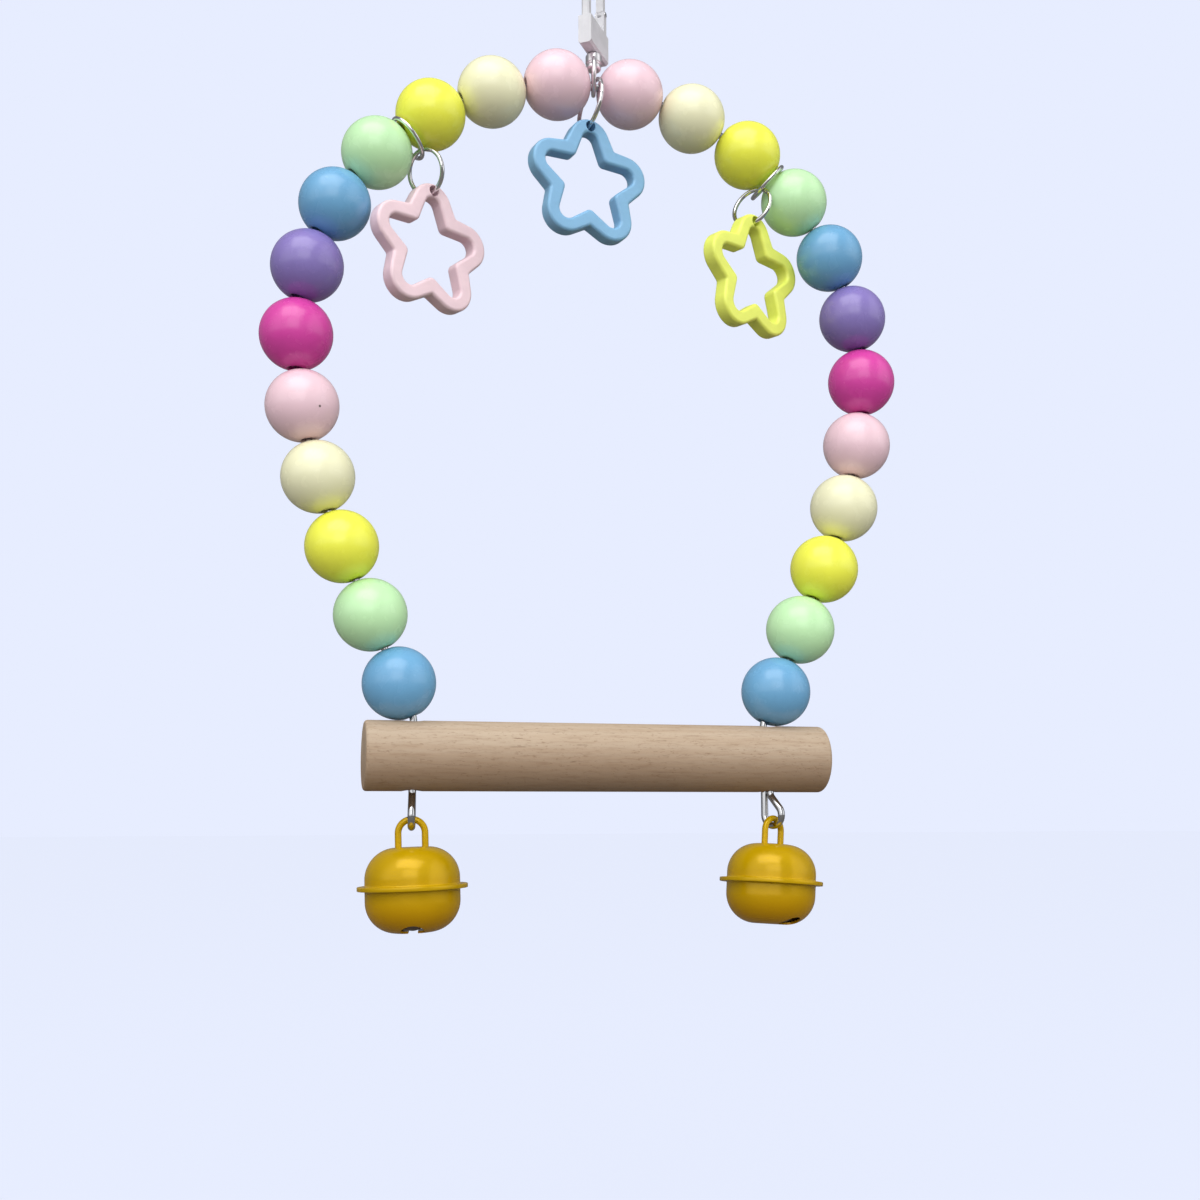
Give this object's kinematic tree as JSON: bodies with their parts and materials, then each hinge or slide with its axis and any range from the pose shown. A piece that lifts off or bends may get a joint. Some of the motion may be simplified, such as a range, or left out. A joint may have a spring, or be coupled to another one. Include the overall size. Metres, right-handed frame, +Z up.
{
  "type": "bird swing",
  "caption": "Hanging bird swing: a wire arch strung with coloured beads over a round wooden perch, with ring-hung plastic stars, jingle bells under the perch and a swivel snap clip on top.",
  "frame": {"origin": "centre of the seat inside the clip's crown, where the swing hangs", "axes": "+Z up, +X to the right along the perch, +Y away from the viewer, across the arch"},
  "size_m": [0.1486, 0.0243, 0.2364],
  "materials": {
    "clip_enamel": "smooth pale enamel",
    "spring_steel": "bright drawn wire",
    "bright_steel": "polished plating",
    "arch_steel": "polished wire",
    "pink_bead": "glossy",
    "cream_bead": "glossy",
    "yellow_bead": "glossy",
    "mint_bead": "glossy",
    "blue_bead": "glossy",
    "purple_bead": "glossy",
    "magenta_bead": "glossy",
    "perch_wood": "sanded, untreated",
    "pink_star": "satin",
    "blue_star": "satin",
    "lime_star": "satin",
    "bell_enamel": "glossy enamel",
    "pellet_steel": "dull"
  },
  "bodies": {
    "clip": {"hook_body": "clip_enamel", "gate_pin": "bright_steel", "gate_spring": "spring_steel", "swivel_rivet": "bright_steel"},
    "gate": {"gate": "clip_enamel"},
    "swivel": {"swivel_loop": "bright_steel"},
    "arch": {"arch_wire": "arch_steel", "perch": "perch_wood"},
    "left_bead_01": {"left_bead_01": "pink_bead"},
    "left_bead_02": {"left_bead_02": "cream_bead"},
    "left_bead_03": {"left_bead_03": "yellow_bead"},
    "left_bead_04": {"left_bead_04": "mint_bead"},
    "left_bead_05": {"left_bead_05": "blue_bead"},
    "left_bead_06": {"left_bead_06": "purple_bead"},
    "left_bead_07": {"left_bead_07": "magenta_bead"},
    "left_bead_08": {"left_bead_08": "pink_bead"},
    "left_bead_09": {"left_bead_09": "cream_bead"},
    "left_bead_10": {"left_bead_10": "yellow_bead"},
    "left_bead_11": {"left_bead_11": "mint_bead"},
    "left_bead_12": {"left_bead_12": "blue_bead"},
    "left_upper_ring": {"left_upper_ring": "bright_steel"},
    "left_lower_ring": {"left_lower_ring": "bright_steel"},
    "left_star": {"left_star": "pink_star"},
    "right_bead_01": {"right_bead_01": "pink_bead"},
    "right_bead_02": {"right_bead_02": "cream_bead"},
    "right_bead_03": {"right_bead_03": "yellow_bead"},
    "right_bead_04": {"right_bead_04": "mint_bead"},
    "right_bead_05": {"right_bead_05": "blue_bead"},
    "right_bead_06": {"right_bead_06": "purple_bead"},
    "right_bead_07": {"right_bead_07": "magenta_bead"},
    "right_bead_08": {"right_bead_08": "pink_bead"},
    "right_bead_09": {"right_bead_09": "cream_bead"},
    "right_bead_10": {"right_bead_10": "yellow_bead"},
    "right_bead_11": {"right_bead_11": "mint_bead"},
    "right_bead_12": {"right_bead_12": "blue_bead"},
    "right_upper_ring": {"right_upper_ring": "bright_steel"},
    "right_lower_ring": {"right_lower_ring": "bright_steel"},
    "right_star": {"right_star": "lime_star"},
    "centre_ring": {"centre_ring": "bright_steel"},
    "centre_star": {"centre_star": "blue_star"},
    "left_bell": {"left_bell_cap": "bell_enamel", "left_bell_cup": "bell_enamel", "left_bell_loop": "bell_enamel"},
    "left_pellet": {"left_bell_pellet": "pellet_steel"},
    "right_bell": {"right_bell_cap": "bell_enamel", "right_bell_cup": "bell_enamel", "right_bell_loop": "bell_enamel"},
    "right_pellet": {"right_bell_pellet": "pellet_steel"}
  },
  "joints": [
    {"name": "gate_hinge", "type": "hinge", "parent": "clip", "child": "gate", "pos_m": [0.00275, 0.00393, -0.0157], "axis": [0.8192, -0.5736, 0], "range_deg": [0, 28], "stiffness_Nm_per_rad": 0.012, "springref_deg": -28.65, "deforming": ["gate_spring"]},
    {"name": "swivel_turn", "type": "hinge", "parent": "clip", "child": "swivel", "pos_m": [0, 0, -0.03], "axis": [0, 0, 1], "continuous": true},
    {"name": "arch_swing", "type": "hinge", "parent": "swivel", "child": "arch", "pos_m": [0, 0, -0.03658], "axis": [1, 0, 0], "range_deg": [-45, 45]},
    {"name": "left_bead_01_spin", "type": "hinge", "parent": "arch", "child": "left_bead_01", "pos_m": [-0.00877, 0, -0.03716], "axis": [-0.9912, 0, -0.1321], "continuous": true},
    {"name": "left_bead_02_spin", "type": "hinge", "parent": "arch", "child": "left_bead_02", "pos_m": [-0.02413, 0, -0.04112], "axis": [-0.9316, 0, -0.3635], "continuous": true},
    {"name": "left_bead_03_spin", "type": "hinge", "parent": "arch", "child": "left_bead_03", "pos_m": [-0.03812, 0, -0.04861], "axis": [-0.8188, 0, -0.5741], "continuous": true},
    {"name": "left_bead_04_spin", "type": "hinge", "parent": "arch", "child": "left_bead_04", "pos_m": [-0.04992, 0, -0.0592], "axis": [-0.6593, 0, -0.7519], "continuous": true},
    {"name": "left_bead_05_spin", "type": "hinge", "parent": "arch", "child": "left_bead_05", "pos_m": [-0.05888, 0, -0.07229], "axis": [-0.4622, 0, -0.8868], "continuous": true},
    {"name": "left_bead_06_spin", "type": "hinge", "parent": "arch", "child": "left_bead_06", "pos_m": [-0.06448, 0, -0.08713], "axis": [-0.2387, 0, -0.9711], "continuous": true},
    {"name": "left_bead_07_spin", "type": "hinge", "parent": "arch", "child": "left_bead_07", "pos_m": [-0.0664, 0, -0.10287], "axis": [-0.0015, 0, -1], "continuous": true},
    {"name": "left_bead_08_spin", "type": "hinge", "parent": "arch", "child": "left_bead_08", "pos_m": [-0.06473, 0, -0.11866], "axis": [0.1789, 0, -0.9839], "continuous": true},
    {"name": "left_bead_09_spin", "type": "hinge", "parent": "arch", "child": "left_bead_09", "pos_m": [-0.06104, 0, -0.13412], "axis": [0.2855, 0, -0.9584], "continuous": true},
    {"name": "left_bead_10_spin", "type": "hinge", "parent": "arch", "child": "left_bead_10", "pos_m": [-0.05567, 0, -0.14908], "axis": [0.3887, 0, -0.9214], "continuous": true},
    {"name": "left_bead_11_spin", "type": "hinge", "parent": "arch", "child": "left_bead_11", "pos_m": [-0.04934, 0, -0.16366], "axis": [0.3987, 0, -0.9171], "continuous": true},
    {"name": "left_bead_12_spin", "type": "hinge", "parent": "arch", "child": "left_bead_12", "pos_m": [-0.043, 0, -0.17824], "axis": [0.3987, 0, -0.9171], "continuous": true},
    {"name": "left_upper_ring_swing", "type": "hinge", "parent": "arch", "child": "left_upper_ring", "pos_m": [-0.04434, 0, -0.05355], "axis": [-0.7444, 0, -0.6677], "range_deg": [-45, 45]},
    {"name": "left_lower_ring_swing", "type": "hinge", "parent": "left_upper_ring", "child": "left_lower_ring", "pos_m": [-0.03986, 0, -0.05853], "axis": [0, -1, 0], "range_deg": [-1, 22]},
    {"name": "left_star_swing", "type": "hinge", "parent": "left_lower_ring", "child": "left_star", "pos_m": [-0.03792, 0.00163, -0.0666], "axis": [0.6428, -0.766, 0], "range_deg": [-1, 24]},
    {"name": "right_bead_01_spin", "type": "hinge", "parent": "arch", "child": "right_bead_01", "pos_m": [0.00877, 0, -0.03716], "axis": [0.9912, 0, -0.1321], "continuous": true},
    {"name": "right_bead_02_spin", "type": "hinge", "parent": "arch", "child": "right_bead_02", "pos_m": [0.02413, 0, -0.04112], "axis": [0.9316, 0, -0.3635], "continuous": true},
    {"name": "right_bead_03_spin", "type": "hinge", "parent": "arch", "child": "right_bead_03", "pos_m": [0.03812, 0, -0.04861], "axis": [0.8188, 0, -0.5741], "continuous": true},
    {"name": "right_bead_04_spin", "type": "hinge", "parent": "arch", "child": "right_bead_04", "pos_m": [0.04992, 0, -0.0592], "axis": [0.6593, 0, -0.7519], "continuous": true},
    {"name": "right_bead_05_spin", "type": "hinge", "parent": "arch", "child": "right_bead_05", "pos_m": [0.05888, 0, -0.07229], "axis": [0.4622, 0, -0.8868], "continuous": true},
    {"name": "right_bead_06_spin", "type": "hinge", "parent": "arch", "child": "right_bead_06", "pos_m": [0.06448, 0, -0.08713], "axis": [0.2387, 0, -0.9711], "continuous": true},
    {"name": "right_bead_07_spin", "type": "hinge", "parent": "arch", "child": "right_bead_07", "pos_m": [0.0664, 0, -0.10287], "axis": [0.0015, 0, -1], "continuous": true},
    {"name": "right_bead_08_spin", "type": "hinge", "parent": "arch", "child": "right_bead_08", "pos_m": [0.06473, 0, -0.11866], "axis": [-0.1789, 0, -0.9839], "continuous": true},
    {"name": "right_bead_09_spin", "type": "hinge", "parent": "arch", "child": "right_bead_09", "pos_m": [0.06104, 0, -0.13412], "axis": [-0.2855, 0, -0.9584], "continuous": true},
    {"name": "right_bead_10_spin", "type": "hinge", "parent": "arch", "child": "right_bead_10", "pos_m": [0.05567, 0, -0.14908], "axis": [-0.3887, 0, -0.9214], "continuous": true},
    {"name": "right_bead_11_spin", "type": "hinge", "parent": "arch", "child": "right_bead_11", "pos_m": [0.04934, 0, -0.16366], "axis": [-0.3987, 0, -0.9171], "continuous": true},
    {"name": "right_bead_12_spin", "type": "hinge", "parent": "arch", "child": "right_bead_12", "pos_m": [0.043, 0, -0.17824], "axis": [-0.3987, 0, -0.9171], "continuous": true},
    {"name": "right_upper_ring_swing", "type": "hinge", "parent": "arch", "child": "right_upper_ring", "pos_m": [0.04434, 0, -0.05355], "axis": [0.7444, 0, -0.6677], "range_deg": [-45, 45]},
    {"name": "right_lower_ring_swing", "type": "hinge", "parent": "right_upper_ring", "child": "right_lower_ring", "pos_m": [0.03986, 0, -0.05853], "axis": [0, 1, 0], "range_deg": [-1, 22]},
    {"name": "right_star_swing", "type": "hinge", "parent": "right_lower_ring", "child": "right_star", "pos_m": [0.03792, -0.00163, -0.0666], "axis": [-0.6428, 0.766, 0], "range_deg": [-1, 24]},
    {"name": "centre_ring_swing", "type": "hinge", "parent": "swivel", "child": "centre_ring", "pos_m": [0, 0, -0.03658], "axis": [1, 0, 0], "range_deg": [-12, 12]},
    {"name": "centre_star_swing", "type": "hinge", "parent": "centre_ring", "child": "centre_star", "pos_m": [-0.00163, -0.00035, -0.04706], "axis": [-0.2079, 0.9781, 0], "range_deg": [-20, 20]},
    {"name": "left_bell_swing", "type": "hinge", "parent": "arch", "child": "left_bell", "pos_m": [-0.04013, -0.00238, -0.20875], "axis": [-0.1392, -0.9903, 0], "range_deg": [-30, 30]},
    {"name": "left_pellet_roll", "type": "slide", "parent": "left_bell", "child": "left_pellet", "axis": [0.1392, 0.9903, 0], "range_m": [0, 0.0068]},
    {"name": "right_bell_swing", "type": "hinge", "parent": "arch", "child": "right_bell", "pos_m": [0.041, -0.00208, -0.20875], "axis": [0.5, -0.866, 0], "range_deg": [-30, 30]},
    {"name": "right_pellet_roll", "type": "slide", "parent": "right_bell", "child": "right_pellet", "axis": [-0.5, 0.866, 0], "range_m": [0, 0.0068]}
  ]
}
